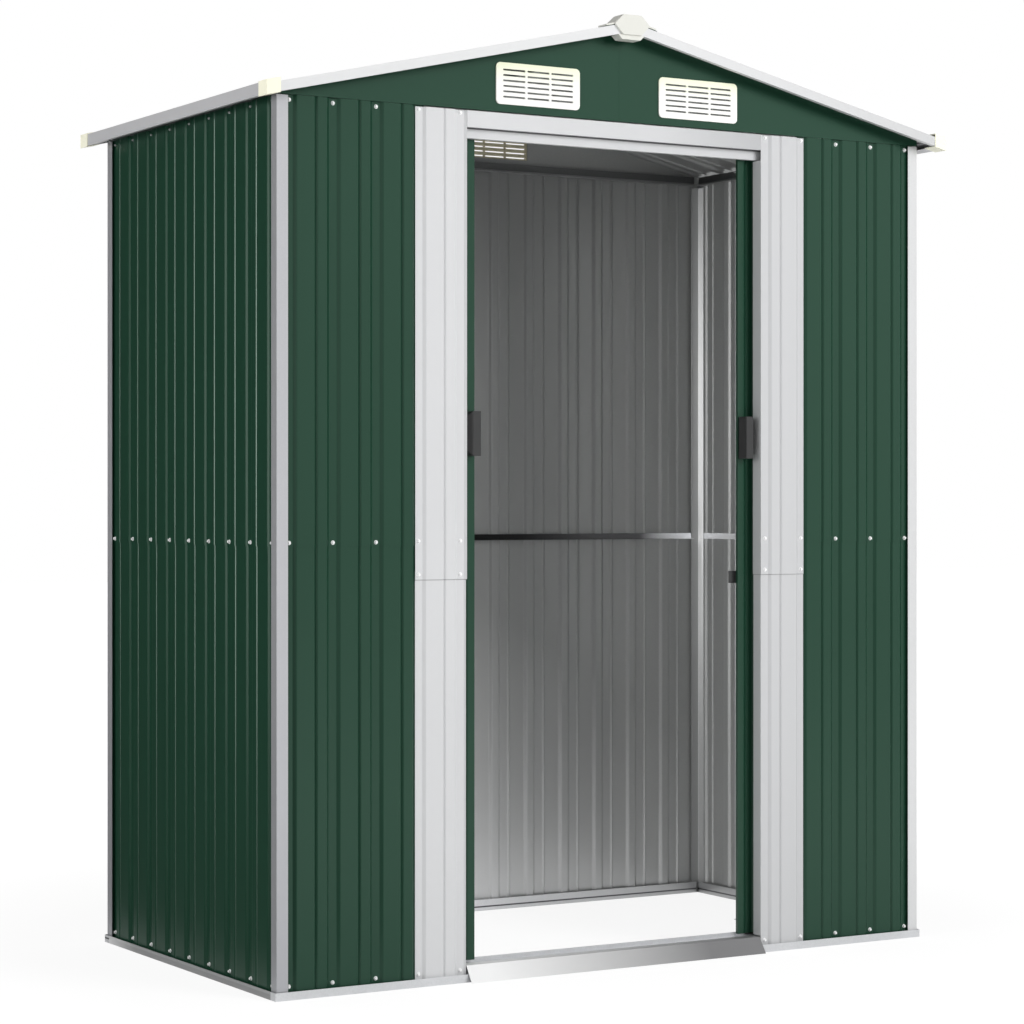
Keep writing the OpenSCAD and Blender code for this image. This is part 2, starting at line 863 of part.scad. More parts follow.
module right_door_panel() {
  mirror([1, 0, 0]) door_panel();
}

// Rails across the back of a door
module door_bar(z, leg_z) {
  along_x(-trail_x + sheet_t + bar_gap, -lead_x - sheet_t - bar_gap)
    union() {
      rect(-door_bar_y, z, -door_bar_y + sheet_t, z + door_bar_h);
      rect(-door_bar_y, leg_z, -door_bar_y + bar_leg - 2, leg_z + sheet_t);
    }
}

module door_bars() {
  color("silver") {
    door_bar(door_z0 + door_bar_in, door_z0 + door_bar_in + door_bar_h - sheet_t);
    door_bar(seam_z - door_bar_h / 2, seam_z - door_bar_h / 2);
    door_bar(door_z1 - door_bar_in - door_bar_h, door_z1 - door_bar_in - door_bar_h);
  }
}

module left_door_rails() {
  door_bars();
}

module right_door_rails() {
  mirror([1, 0, 0]) door_bars();
}

// Plastic runners on the upper ledge and guides over the lower lip
module door_runner() {
  x = runner_l / 2;
  y0 = -track_lip_y + runner_gap;
  y1 = -door_bar_y + sheet_t + fit_gap + runner_t;
  z = ledge_z + fit_gap;
  neck = door_z1 + fit_gap - z;
  box(-x, y0, z, x, -track_edge_y - runner_gap, z + neck + runner_t);
  box(-x, y0, z + neck, x, y1, z + neck + runner_t);
  box(-x, y1 - runner_t, door_z1 - door_bar_in - door_bar_h + 2, x, y1, z + neck + runner_t);
}

module door_guide() {
  x = runner_l / 2;
  y0 = -door_bar_y + sheet_t + fit_gap;
  mid = -lip_y + sheet_t / 2;
  slot = sheet_t / 2 + 1;
  difference() {
    box(-x, y0, track_floor_z + 3, x, y0 + 11, door_z0 + door_bar_in + door_bar_h - 5);
    box(-x - 1, mid - slot, track_floor_z, x + 1, mid + slot, track_floor_z + guide_lip_h + 2);
  }
}

module door_guides() {
  color("dimgray")
    for (x = [-trail_x + runner_in, -lead_x - runner_in])
      translate([x, 0, 0]) {
        door_runner();
        door_guide();
      }
}

module left_door_guides() {
  door_guides();
}

module right_door_guides() {
  mirror([1, 0, 0]) door_guides();
}

// Door handles: a bevelled pull, open towards the trailing edge for the fingers
module door_handle() {
  x0 = -lead_x - handle_in;
  x1 = x0 - handle_w;
  y1 = -door_y - fit_gap;
  y0 = y1 - handle_d;
  z0 = handle_z - handle_h / 2;
  z1 = handle_z + handle_h / 2;
  color("dimgray")
    difference() {
      intersection() {
        translate([0, 0, z0])
          linear_extrude(handle_h)
            polygon([[x0, y1], [x0, y0], [x1 + handle_bevel, y0], [x1, y0 + handle_bevel], [x1, y1]]);
        along_y(y0 - 1, y1 + 1)
          polygon([[x0, z0], [x0, z1], [x1 + handle_bevel, z1], [x1, z1 - handle_bevel],
            [x1, z0 + handle_bevel], [x1 + handle_bevel, z0]]);
      }
      box(x1 - 1, y0 + handle_bevel + handle_wall / 2, z0 + handle_bevel + handle_wall,
        x0 - handle_wall, y1 - handle_wall, z1 - handle_bevel - handle_wall);
    }
}

module left_door_handle() {
  door_handle();
}

module right_door_handle() {
  mirror([1, 0, 0]) door_handle();
}

// Latch tab on the back of the right door, reaching past its leading edge
module right_door_latch() {
  y = -door_y + door_fold + fit_gap;
  z0 = latch_z - latch_h / 2;
  z1 = latch_z + latch_h / 2;
  color("gray") {
    box(lead_x - latch_out, y + 5, z0, lead_x + latch_h * 0.75, y + 5 + latch_t, z1);
    box(lead_x, y, z0, lead_x + latch_h / 2, y + 5 + latch_t / 2, z1);
  }
}

base_rail_front();
base_rail_back();
base_rail_left();
base_rail_right();
door_ramp();
lower_door_track();
corner_post_front_left();
corner_post_front_right();
corner_post_back_left();
corner_post_back_right();
inner_corner_angles();
front_wall_left_lower();
front_wall_left_upper();
front_wall_right_lower();
front_wall_right_upper();
left_wall_lower();
left_wall_upper();
right_wall_lower();
right_wall_upper();
back_wall_lower();
back_wall_upper();
mid_rails();
top_rails();
door_jamb_left();
door_jamb_right();
door_header();
upper_door_track();
gable_front_left();
gable_front_right();
gable_back_left();
gable_back_right();
gable_vents();
ridge_beam();
roof_left();
roof_right();
rake_trims();
eave_trims();
ridge_cap();
roof_corner_caps();
ridge_end_caps();
left_door_panel();
left_door_rails();
left_door_guides();
left_door_handle();
right_door_panel();
right_door_rails();
right_door_guides();
right_door_handle();
right_door_latch();
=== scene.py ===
import bpy
import bmesh
import math
from mathutils import Matrix, Vector


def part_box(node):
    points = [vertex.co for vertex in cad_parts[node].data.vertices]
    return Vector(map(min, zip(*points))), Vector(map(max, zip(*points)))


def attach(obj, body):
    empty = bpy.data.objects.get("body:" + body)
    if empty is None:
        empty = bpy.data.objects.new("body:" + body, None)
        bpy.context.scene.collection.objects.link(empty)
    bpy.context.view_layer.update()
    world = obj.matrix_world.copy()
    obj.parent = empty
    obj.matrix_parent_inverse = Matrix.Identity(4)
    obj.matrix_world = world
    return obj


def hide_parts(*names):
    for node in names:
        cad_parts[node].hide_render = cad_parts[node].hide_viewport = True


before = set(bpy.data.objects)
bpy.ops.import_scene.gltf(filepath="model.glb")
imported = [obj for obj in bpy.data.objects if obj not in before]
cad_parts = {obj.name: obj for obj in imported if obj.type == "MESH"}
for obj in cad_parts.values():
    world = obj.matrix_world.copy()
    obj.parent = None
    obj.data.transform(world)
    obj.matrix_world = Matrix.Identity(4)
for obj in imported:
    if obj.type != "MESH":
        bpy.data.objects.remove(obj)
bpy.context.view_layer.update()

# Base rails: open channels of zinc-coated sheet steel that lie on the ground and carry the walls.
# They are cold rolled, so the zinc shows a fine spangle and a soft, uneven sheen.
# The back and right rails carry painted shade, duller towards the right end, and a painted shade line in the
# crease.
def shader_group(name, inputs, outputs):
    group = bpy.data.node_groups.new(name, "ShaderNodeTree")
    for label, value in inputs:
        socket = group.interface.new_socket(label, in_out="INPUT", socket_type="NodeSocketFloat")
        socket.default_value = value
    for label in outputs:
        group.interface.new_socket(label, in_out="OUTPUT", socket_type="NodeSocketFloat")
    return group, group.nodes.new("NodeGroupInput"), group.nodes.new("NodeGroupOutput")


def feed(tree, source, target):
    if isinstance(source, bpy.types.NodeSocket):
        tree.links.new(source, target)
    else:
        target.default_value = source


def noise_node(tree, vector, scale, detail):
    node = tree.nodes.new("ShaderNodeTexNoise")
    node.inputs["Detail"].default_value = detail
    feed(tree, vector, node.inputs["Vector"])
    feed(tree, scale, node.inputs["Scale"])
    return node.outputs["Fac"]


def math_node(tree, operation, first, second):
    node = tree.nodes.new("ShaderNodeMath")
    node.operation = operation
    feed(tree, first, node.inputs[0])
    feed(tree, second, node.inputs[1])
    return node.outputs["Value"]


def map_range(tree, value, start, end, low=0.0, high=1.0):
    node = tree.nodes.new("ShaderNodeMapRange")
    feed(tree, value, node.inputs["Value"])
    for label, limit in (("From Min", start), ("From Max", end), ("To Min", low), ("To Max", high)):
        node.inputs[label].default_value = limit
    return node.outputs["Result"]


def mix_colours(tree, share, first, second):
    node = tree.nodes.new("ShaderNodeMix")
    node.data_type = "RGBA"
    feed(tree, share, node.inputs["Factor"])
    feed(tree, first, node.inputs["A"])
    feed(tree, second, node.inputs["B"])
    return node.outputs["Result"]


def blend_values(tree, first, second, share):
    return math_node(tree, "ADD", math_node(tree, "MULTIPLY", first, 1.0 - share),
                     math_node(tree, "MULTIPLY", second, share))


STREAK_IN_TINT = 0.55
STREAK_IN_SHEEN = 0.6
SPECK_SCALE = 900.0
zinc_grain, grain_in, grain_out = shader_group(
    "zinc_grain", [("Spangle", 260.0), ("Streak", 9.0)], ["Tint", "Sheen", "Height"])
grain_place = zinc_grain.nodes.new("ShaderNodeTexCoord").outputs["Object"]
spangle = zinc_grain.nodes.new("ShaderNodeTexVoronoi")
zinc_grain.links.new(grain_place, spangle.inputs["Vector"])
zinc_grain.links.new(grain_in.outputs["Spangle"], spangle.inputs["Scale"])
spangle_shade = zinc_grain.nodes.new("ShaderNodeSeparateColor")
zinc_grain.links.new(spangle.outputs["Color"], spangle_shade.inputs["Color"])
streak = noise_node(zinc_grain, grain_place, grain_in.outputs["Streak"], detail=5.0)
speck = noise_node(zinc_grain, grain_place, SPECK_SCALE, detail=2.0)
grain_tint = blend_values(zinc_grain, spangle_shade.outputs["Red"], streak, STREAK_IN_TINT)
grain_sheen = blend_values(zinc_grain, spangle_shade.outputs["Green"], streak, STREAK_IN_SHEEN)
zinc_grain.links.new(grain_tint, grain_out.inputs["Tint"])
zinc_grain.links.new(grain_sheen, grain_out.inputs["Sheen"])
zinc_grain.links.new(speck, grain_out.inputs["Height"])

RELIEF_DEPTH = 0.0003


def finish_material(name, group, settings, dark, light, rough, metallic, bump, specular=0.5):
    material = bpy.data.materials.new(name)
    material.use_nodes = True
    tree = material.node_tree
    shader = tree.nodes["Principled BSDF"]
    shader.inputs["Metallic"].default_value = metallic
    shader.inputs["Specular IOR Level"].default_value = specular
    effect = tree.nodes.new("ShaderNodeGroup")
    effect.node_tree = group
    for label, value in settings.items():
        effect.inputs[label].default_value = value
    colour = mix_colours(tree, effect.outputs["Tint"], (*dark, 1.0), (*light, 1.0))
    tree.links.new(colour, shader.inputs["Base Color"])
    gloss = map_range(tree, effect.outputs["Sheen"], 0.0, 1.0, *rough)
    tree.links.new(gloss, shader.inputs["Roughness"])
    relief = tree.nodes.new("ShaderNodeBump")
    relief.inputs["Strength"].default_value = bump
    relief.inputs["Distance"].default_value = RELIEF_DEPTH
    tree.links.new(effect.outputs["Height"], relief.inputs["Height"])
    tree.links.new(relief.outputs["Normal"], shader.inputs["Normal"])
    return material


def recoated(material, name):
    copy = material.copy()
    copy.name = name
    return copy


def place_along(tree, axis):
    place = tree.nodes.new("ShaderNodeSeparateXYZ")
    tree.links.new(tree.nodes.new("ShaderNodeTexCoord").outputs["Object"], place.inputs["Vector"])
    return place.outputs[axis]


def tint_between(material, value, start, end, colour):
    tree = material.node_tree
    base = tree.nodes["Principled BSDF"].inputs["Base Color"]
    share = map_range(tree, value, start, end)
    tree.links.new(mix_colours(tree, share, base.links[0].from_socket, (*colour, 1.0)), base)


def shade_by_place(material, axis, start, end, colour):
    tint_between(material, place_along(material.node_tree, axis), start, end, colour)


def line_by_place(material, axis, centre, half_width, colour):
    tree = material.node_tree
    offset = math_node(tree, "SUBTRACT", place_along(tree, axis), centre)
    tint_between(material, math_node(tree, "ABSOLUTE", offset, 0.0), half_width, half_width / 2, colour)


def coat_node(node, material):
    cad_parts[node].material_slots[0].material = material


RAIL_GRAIN = {"Spangle": 300.0, "Streak": 11.0}
RAIL_CREASE = 0.011
CREASE_EDGE = 0.0025
rail_zinc = finish_material("rail_zinc", zinc_grain, RAIL_GRAIN, dark=(0.78, 0.79, 0.81),
                            light=(0.88, 0.89, 0.91), rough=(0.30, 0.42), metallic=0.7, bump=0.08)
crease_shaded_zinc = recoated(rail_zinc, "crease_shaded_zinc")
# Painted shade: duller towards the right end, and a dark line in the crease.
shade_by_place(crease_shaded_zinc, "X", start=0.10, end=0.85, colour=(0.50, 0.505, 0.51))
line_by_place(crease_shaded_zinc, "Z", centre=RAIL_CREASE, half_width=0.0026, colour=(0.10, 0.10, 0.105))
side_zinc = finish_material("side_zinc", zinc_grain, RAIL_GRAIN, dark=(0.54, 0.545, 0.55),
                            light=(0.60, 0.605, 0.61), rough=(0.30, 0.42), metallic=0.7, bump=0.08)
# Painted shade darkens the left rail below its crease, and painted light brightens its back end.
shade_by_place(side_zinc, "Z", start=RAIL_CREASE + CREASE_EDGE, end=RAIL_CREASE, colour=(0.46, 0.46, 0.465))
shade_by_place(side_zinc, "Y", start=0.30, end=0.47, colour=(0.95, 0.95, 0.955))
for rail, finish in (("base_rail_front", rail_zinc), ("base_rail_left", side_zinc),
                     ("base_rail_back", crease_shaded_zinc), ("base_rail_right", crease_shaded_zinc)):
    coat_node(rail, finish)

# Door ramp and lower door track: the ramp is a bent strip of bright metal that covers the front
# of the track, and painted shade makes its finish duller towards the right end, where its reflection fades,
# as the picture shows it.
# The track behind it is zinc-coated steel with a lip for the doors.
ramp_metal = finish_material("ramp_metal", zinc_grain, {"Spangle": 700.0, "Streak": 24.0},
                             dark=(0.97, 0.975, 0.975), light=(1.0, 1.0, 1.0), rough=(0.28, 0.38),
                             metallic=0.05, bump=0.05)
# Painted shade: duller towards the right end, where the reflection fades.
shade_by_place(ramp_metal, "X", start=-0.36, end=0.26, colour=(0.235, 0.235, 0.24))
coat_node("door_ramp", ramp_metal)
coat_node("lower_door_track", rail_zinc)

# Corner posts: folded angles of pale grey coated steel over the edges of the wall sheets,
# with a plain zinc angle inside each corner that the sheets are screwed to.
# The front right post has a paler copy of the finish as painted light, and the angles' legs along the right
# wall are painted light, brighter than the rest.
POST_GRAIN = {"Spangle": 500.0, "Streak": 6.0}
post_grey = finish_material("post_grey", zinc_grain, POST_GRAIN, dark=(0.60, 0.605, 0.63),
                            light=(0.66, 0.665, 0.69), rough=(0.32, 0.42), metallic=0.6, bump=0.05)
# Painted shade: the grey posts darken towards the ground.
shade_by_place(post_grey, "Z", start=1.1, end=0.0, colour=(0.52, 0.525, 0.55))
for post in ("corner_post_front_left", "corner_post_back_left", "corner_post_back_right"):
    coat_node(post, post_grey)
# Painted light: a paler copy of the post finish for the front right post.
post_painted_light = finish_material("post_painted_light", zinc_grain, POST_GRAIN, dark=(0.78, 0.785, 0.79),
                            light=(0.83, 0.835, 0.84), rough=(0.32, 0.42), metallic=0.5, bump=0.05)
coat_node("corner_post_front_right", post_painted_light)
INSIDE_GRAIN = {"Spangle": 420.0, "Streak": 7.0}
BRIGHT_EDGE, DULL_FROM = 0.0022, 0.0040
angle_zinc = finish_material("angle_zinc", zinc_grain, INSIDE_GRAIN, dark=(0.86, 0.865, 0.865),
                             light=(0.94, 0.945, 0.945), rough=(0.28, 0.36), metallic=0.2, bump=0.01)
angle_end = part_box("inner_corner_angles")[1]
# Painted light: the legs along the right wall stay bright, and painted shade dulls the rest.
shade_by_place(angle_zinc, "X", start=angle_end.x - BRIGHT_EDGE, end=angle_end.x - DULL_FROM,
               colour=(0.50, 0.505, 0.505))
coat_node("inner_corner_angles", angle_zinc)

# Wall sheets: thin ribbed steel in two courses, the upper one lapped over the lower one.
# The outside is baked dark green paint with a slight orange peel, the inside is a pale zinc coat,
# and every fold has a small radius from the rolls that formed it.
DUST_SCALE = 60.0
DUST_IN_TINT = 0.3
paint_skin, skin_in, skin_out = shader_group(
    "paint_skin", [("Peel", 420.0), ("Drift", 3.0)], ["Tint", "Sheen", "Height"])
skin_place = paint_skin.nodes.new("ShaderNodeTexCoord").outputs["Object"]
drift = noise_node(paint_skin, skin_place, skin_in.outputs["Drift"], detail=4.0)
dust = noise_node(paint_skin, skin_place, DUST_SCALE, detail=3.0)
peel = noise_node(paint_skin, skin_place, skin_in.outputs["Peel"], detail=1.0)
paint_skin.links.new(blend_values(paint_skin, drift, dust, DUST_IN_TINT), skin_out.inputs["Tint"])
paint_skin.links.new(drift, skin_out.inputs["Sheen"])
paint_skin.links.new(peel, skin_out.inputs["Height"])

green_paint = finish_material("green_paint", paint_skin, {"Peel": 420.0, "Drift": 3.0},
                              dark=(0.0090, 0.042, 0.0235), light=(0.0112, 0.049, 0.0280),
                              rough=(0.26, 0.33), metallic=0.0, bump=0.06)
green_shader = green_paint.node_tree.nodes["Principled BSDF"]
green_shader.inputs["Specular Tint"].default_value = (0.82, 1.0, 0.90, 1)
groove_paint = recoated(green_paint, "groove_paint")
groove_shader = groove_paint.node_tree.nodes["Principled BSDF"]
groove_shader.inputs["Specular IOR Level"].default_value = 1.0
groove_shader.inputs["IOR"].default_value = 1.75
inner_zinc = finish_material("inner_zinc", zinc_grain, INSIDE_GRAIN, dark=(0.61, 0.617, 0.612),
                             light=(0.70, 0.707, 0.702), rough=(0.28, 0.36), metallic=0.30, bump=0.03)
MERGE_DISTANCE = 0.000002
FLAT_ANGLE = math.radians(0.4)
FACING = 0.05
GROOVE_FOLD = (math.radians(75), math.radians(87))
SHEET_FOLD = (math.radians(20), math.radians(70))
FOLD_RADIUS = 0.0022
OUTSIDE, INSIDE, GROOVE = 0, 1, 2


def edges_folded(work, fold):
    return [edge for edge in work.edges if len(edge.link_faces) == 2
            and fold[0] < edge.calc_face_angle(0.0) < fold[1]]


def dressed(node, body, materials, outward, radius, fold, segments=3):
    mesh = bpy.data.meshes.new(node + "_skin")
    work = bmesh.new()
    work.from_mesh(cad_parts[node].data)
    bmesh.ops.remove_doubles(work, verts=work.verts, dist=MERGE_DISTANCE)
    bmesh.ops.dissolve_limit(work, angle_limit=FLAT_ANGLE, verts=work.verts, edges=work.edges,
                             use_dissolve_boundaries=False, delimit=set())
    folds = edges_folded(work, fold)
    if radius and folds:
        bmesh.ops.bevel(work, geom=folds, offset=radius, offset_type="OFFSET", affect="EDGES",
                        segments=segments, profile=0.5, material=-1, clamp_overlap=True)
    if outward is not None:
        work.normal_update()
        for face in work.faces:
            face.material_index = INSIDE if face.normal.dot(outward) < -FACING else OUTSIDE
            face.smooth = False
    if len(materials) > GROOVE:
        for edge in edges_folded(work, GROOVE_FOLD):
            for face in edge.link_faces:
                face.material_index = GROOVE if face.normal.dot(outward) > FACING else INSIDE
    work.to_mesh(mesh)
    work.free()
    for layer in [layer for layer in mesh.attributes if layer.name == "custom_normal"]:
        mesh.attributes.remove(layer)
    for material in materials:
        mesh.materials.append(material)
    piece = bpy.data.objects.new(node + "_skin", mesh)
    bpy.context.scene.collection.objects.link(piece)
    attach(piece, body)
    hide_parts(node)
    return piece


FRONT, BACK = Vector((0, -1, 0)), Vector((0, 1, 0))
LEFT, RIGHT = Vector((-1, 0, 0)), Vector((1, 0, 0))
RISE_WITH_X = 0.6
# Painted shade: the back wall's inside is a darker copy of the inside zinc, darker still towards the left,
# and painted light brightens it towards the floor, most at the left.
back_zinc = finish_material("back_zinc", zinc_grain, INSIDE_GRAIN, dark=(0.50, 0.506, 0.502),
                            light=(0.56, 0.566, 0.562), rough=(0.28, 0.36), metallic=0.30, bump=0.03)
shade_by_place(back_zinc, "X", start=0.72, end=0.54, colour=(0.36, 0.365, 0.362))
back_tree = back_zinc.node_tree
back_rise = math_node(back_tree, "ADD", place_along(back_tree, "Z"),
                      math_node(back_tree, "MULTIPLY", place_along(back_tree, "X"), RISE_WITH_X))
tint_between(back_zinc, back_rise, start=0.95, end=0.12, colour=(0.84, 0.845, 0.85))
sheet_sides = (green_paint, inner_zinc)
grooved_sides = (green_paint, inner_zinc, groove_paint)
wall_skins = {}
for wall, outward, sides in (("front_wall_left", FRONT, sheet_sides),
                             ("front_wall_right", FRONT, sheet_sides),
                             ("left_wall", LEFT, grooved_sides), ("right_wall", RIGHT, grooved_sides),
                             ("back_wall", BACK, (green_paint, back_zinc))):
    for course in (wall + "_lower", wall + "_upper"):
        wall_skins[course] = dressed(course, "shed", sides, outward, FOLD_RADIUS, SHEET_FOLD)

# Wall rails: folded zinc angles that run round the inside at half height and at the wall tops,
# screwed through the sheets. The picture shows them in the shade, so painted shade darkens them
# away from the right end at half height, and at the top they are painted dark as shade, with a painted
# highlight on the lower edge.
painted_shade_zinc = recoated(rail_zinc, "painted_shade_zinc")
# Painted shade: darker away from the right end and away from the back wall.
shade_by_place(painted_shade_zinc, "Y", start=0.45, end=0.25, colour=(0.40, 0.40, 0.405))
shade_by_place(painted_shade_zinc, "X", start=0.86, end=0.69, colour=(0.060, 0.060, 0.062))
shade_by_place(painted_shade_zinc, "X", start=0.70, end=0.30, colour=(0.012, 0.012, 0.0125))
coat_node("mid_rails", painted_shade_zinc)
# Painted shade: the top rails' finish is dark, with a painted highlight along their lower edge.
shaded_zinc = finish_material("shaded_zinc", zinc_grain, RAIL_GRAIN, dark=(0.17, 0.172, 0.175),
                              light=(0.20, 0.202, 0.205), rough=(0.34, 0.46), metallic=0.5, bump=0.06)
TOP_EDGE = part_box("top_rails")[0].z + 0.003
line_by_place(shaded_zinc, "Z", centre=TOP_EDGE, half_width=0.005, colour=(0.46, 0.465, 0.47))
for rails in ("top_rails", "ridge_beam"):
    coat_node(rails, shaded_zinc)

# Wall screws: zinc hex-head sheet screws with pressed washers, driven through the valleys of the
# sheets into the base rails, the rails at half height and the rails at the wall tops.
# The side walls' top row has smaller heads, made duller by painted shade.
SCREW_GRAIN = {"Spangle": 900.0, "Streak": 60.0}
screw_zinc = finish_material("screw_zinc", zinc_grain, SCREW_GRAIN, dark=(0.88, 0.90, 0.89),
                             light=(0.94, 0.95, 0.94), rough=(0.25, 0.40), metallic=0.1, bump=0.05)
WASHER_SIDES, WASHER_RADIUS, WASHER_TAPER, WASHER_THICKNESS = 12, 0.0052, 0.9, 0.0010
HEAD_SIDES, HEAD_RADIUS, HEAD_TAPER, HEAD_HEIGHT = 6, 0.0038, 0.86, 0.0034


def screw_row(name, body, places, material, size=1.0):
    mesh = bpy.data.meshes.new(name)
    work = bmesh.new()
    for place, outward in places:
        turn = Vector((0, 0, 1)).rotation_difference(outward).to_matrix().to_4x4()
        seat = Matrix.Translation(place) @ turn @ Matrix.Scale(size, 4)
        for sides, radius, taper, start, height in (
                (WASHER_SIDES, WASHER_RADIUS, WASHER_TAPER, 0.0, WASHER_THICKNESS),
                (HEAD_SIDES, HEAD_RADIUS, HEAD_TAPER, WASHER_THICKNESS, HEAD_HEIGHT)):
            bmesh.ops.create_cone(work, cap_ends=True, segments=sides, radius1=radius,
                                  radius2=radius * taper, depth=height,
                                  matrix=seat @ Matrix.Translation((0, 0, start + height / 2)))
    work.to_mesh(mesh)
    work.free()
    mesh.materials.append(material)
    piece = bpy.data.objects.new(name, mesh)
    bpy.context.scene.collection.objects.link(piece)
    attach(piece, body)
    return piece


post_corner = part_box("corner_post_front_left")[0]
HALF_WIDTH, HALF_DEPTH = -post_corner.x, -post_corner.y
DOOR_HALF = -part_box("door_jamb_left")[1].x
RIB_PITCH = 0.109
VALLEY_IN = 0.0155
UPPER_VALLEY, LOWER_VALLEY = 0.0078, 0.0093
LOW_ROW, MIDDLE_ROW, TOP_ROW = 0.028, 1.013, 1.997
JAMB_VALLEYS, WALL_VALLEYS = (0, 1), (2, 3, 4)
wall_rows = ((LOW_ROW, LOWER_VALLEY), (MIDDLE_ROW, UPPER_VALLEY), (TOP_ROW, UPPER_VALLEY))


def front_places(valleys, rows):
    return [(Vector((side * (DOOR_HALF + VALLEY_IN + count * RIB_PITCH), depth - HALF_DEPTH, row)), FRONT)
            for side in (-1, 1) for count in valleys for row, depth in rows]


screw_row("front_wall_screws", "shed", front_places(WALL_VALLEYS, wall_rows), screw_zinc)
SIDE_FIRST, SIDE_LAST, SIDE_COUNT = 0.0384, 0.032, 9
SMALL_SCREW = 0.62
side_pitch = (2 * HALF_DEPTH - SIDE_FIRST - SIDE_LAST) / (SIDE_COUNT - 1)
# Painted shade: the top row's heads are a darker copy of the screw zinc.
screw_painted_shade = finish_material("screw_painted_shade", zinc_grain, SCREW_GRAIN, dark=(0.42, 0.43, 0.43),
                             light=(0.50, 0.51, 0.51), rough=(0.35, 0.50), metallic=0.1, bump=0.05)
for name, rows, finish, size in (("wall_screws", wall_rows[:2], screw_zinc, 1.0),
                                 ("wall_top_screws", wall_rows[2:], screw_painted_shade, SMALL_SCREW)):
    for side, outward in (("left_", LEFT), ("right_", RIGHT)):
        side_places = [
            (Vector((outward.x * (HALF_WIDTH - depth), SIDE_FIRST - HALF_DEPTH + count * side_pitch, row)),
             outward)
            for count in range(SIDE_COUNT) for row, depth in rows]
        screw_row(side + name, "shed", side_places, finish, size)
BACK_COUNT = 16
back_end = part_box("back_wall_upper")[1].x
back_pitch = 2 * back_end / BACK_COUNT
back_places = [(Vector((count * back_pitch - back_end, HALF_DEPTH - depth, row)), BACK)
               for count in range(1, BACK_COUNT) for row, depth in wall_rows]
screw_row("back_wall_screws", "shed", back_places, screw_zinc)

# Door jambs and header: white coated steel, the jambs ribbed like the walls with a return beside
# the doorway, the header a folded face in front of the upper door track.
# The jambs are screwed through their two valleys at the seam and at both ends.
white_paint = finish_material("white_paint", paint_skin, {"Peel": 380.0, "Drift": 4.0},
                              dark=(0.65, 0.655, 0.665), light=(0.69, 0.695, 0.705),
                              rough=(0.30, 0.42), metallic=0.0, bump=0.08)
# Painted shade: the white finish darkens towards the right.
shade_by_place(white_paint, "X", start=-0.35, end=0.50, colour=(0.575, 0.58, 0.59))
jamb_white = recoated(white_paint, "jamb_white")
JAMB_SEAM, SEAM_EDGE = 0.926, 0.0012
JAMB_FOLD_RADIUS = 0.0016
# Painted shade: a thin dark line where the two jamb lengths lap.
line_by_place(jamb_white, "Z", centre=JAMB_SEAM, half_width=SEAM_EDGE, colour=(0.34, 0.34, 0.35))
for jamb in ("door_jamb_left", "door_jamb_right"):
    dressed(jamb, "shed", (jamb_white, inner_zinc), FRONT, JAMB_FOLD_RADIUS, SHEET_FOLD)
header_white = recoated(white_paint, "header_white")
# Painted shade: the header darkens more towards its right end.
shade_by_place(header_white, "X", start=0.12, end=0.42, colour=(0.47, 0.475, 0.485))
coat_node("door_header", header_white)
header_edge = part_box("door_header")[0].z
LIP_DROP, SHADE_DROP = 0.0030, 0.0010
track_white = recoated(white_paint, "track_white")
# Painted shadow: a dark band along the top of the track's lip, just under the header.
shade_by_place(track_white, "Z", start=header_edge - LIP_DROP, end=header_edge - SHADE_DROP,
               colour=(0.10, 0.10, 0.105))
coat_node("upper_door_track", track_white)
screw_white = finish_material("screw_white", paint_skin, {"Peel": 900.0, "Drift": 40.0},
                              dark=(0.95, 0.95, 0.955), light=(0.98, 0.98, 0.985),
                              rough=(0.25, 0.35), metallic=0.0, bump=0.05)
JAMB_UPPER, JAMB_LOWER = 0.006, 0.0075
SEAM_ROW, JAMB_MIDDLE_ROW, JAMB_TOP_ROW = 0.938, 1.015, 1.999
jamb_rows = ((LOW_ROW, JAMB_LOWER), (SEAM_ROW, JAMB_UPPER), (JAMB_MIDDLE_ROW, JAMB_UPPER),
             (JAMB_TOP_ROW, JAMB_UPPER))
screw_row("jamb_screws", "shed", front_places(JAMB_VALLEYS, jamb_rows), screw_white)

# Gables: plain green sheets in two halves, folded in along the wall tops and cut out for the vents.
# They are the same painted steel as the walls, and keep their crisp bent edges.
under_zinc = finish_material("under_zinc", zinc_grain, INSIDE_GRAIN, dark=(0.45, 0.457, 0.452),
                             light=(0.52, 0.527, 0.522), rough=(0.30, 0.40), metallic=0.30, bump=0.03)
for gable, outward in (("gable_front_left", FRONT), ("gable_front_right", FRONT),
                       ("gable_back_left", BACK), ("gable_back_right", BACK)):
    dressed(gable, "shed", (green_paint, under_zinc), outward, 0.0, SHEET_FOLD)

# Vents: moulded cream plastic plates with rows of slots, set over the cut-outs of the gables.
# The vents are painted a little greener towards the top, and the vents at the back carry painted shade,
# yellower and darker, as the picture shows them through the doorway.
moulded_skin, mould_in, mould_out = shader_group(
    "moulded_skin", [("Texture", 700.0), ("Cloud", 12.0)], ["Tint", "Sheen", "Height"])
mould_place = moulded_skin.nodes.new("ShaderNodeTexCoord").outputs["Object"]
cloud = noise_node(moulded_skin, mould_place, mould_in.outputs["Cloud"], detail=3.0)
texture = noise_node(moulded_skin, mould_place, mould_in.outputs["Texture"], detail=2.0)
moulded_skin.links.new(cloud, mould_out.inputs["Tint"])
moulded_skin.links.new(texture, mould_out.inputs["Sheen"])
moulded_skin.links.new(texture, mould_out.inputs["Height"])
CREAM_GRAIN = {"Texture": 700.0, "Cloud": 12.0}
vent_cream = finish_material("vent_cream", moulded_skin, CREAM_GRAIN, dark=(0.96, 0.965, 0.92),
                             light=(0.985, 0.985, 0.95), rough=(0.34, 0.46), metallic=0.0, bump=0.08)
vent_low, vent_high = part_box("gable_vents")
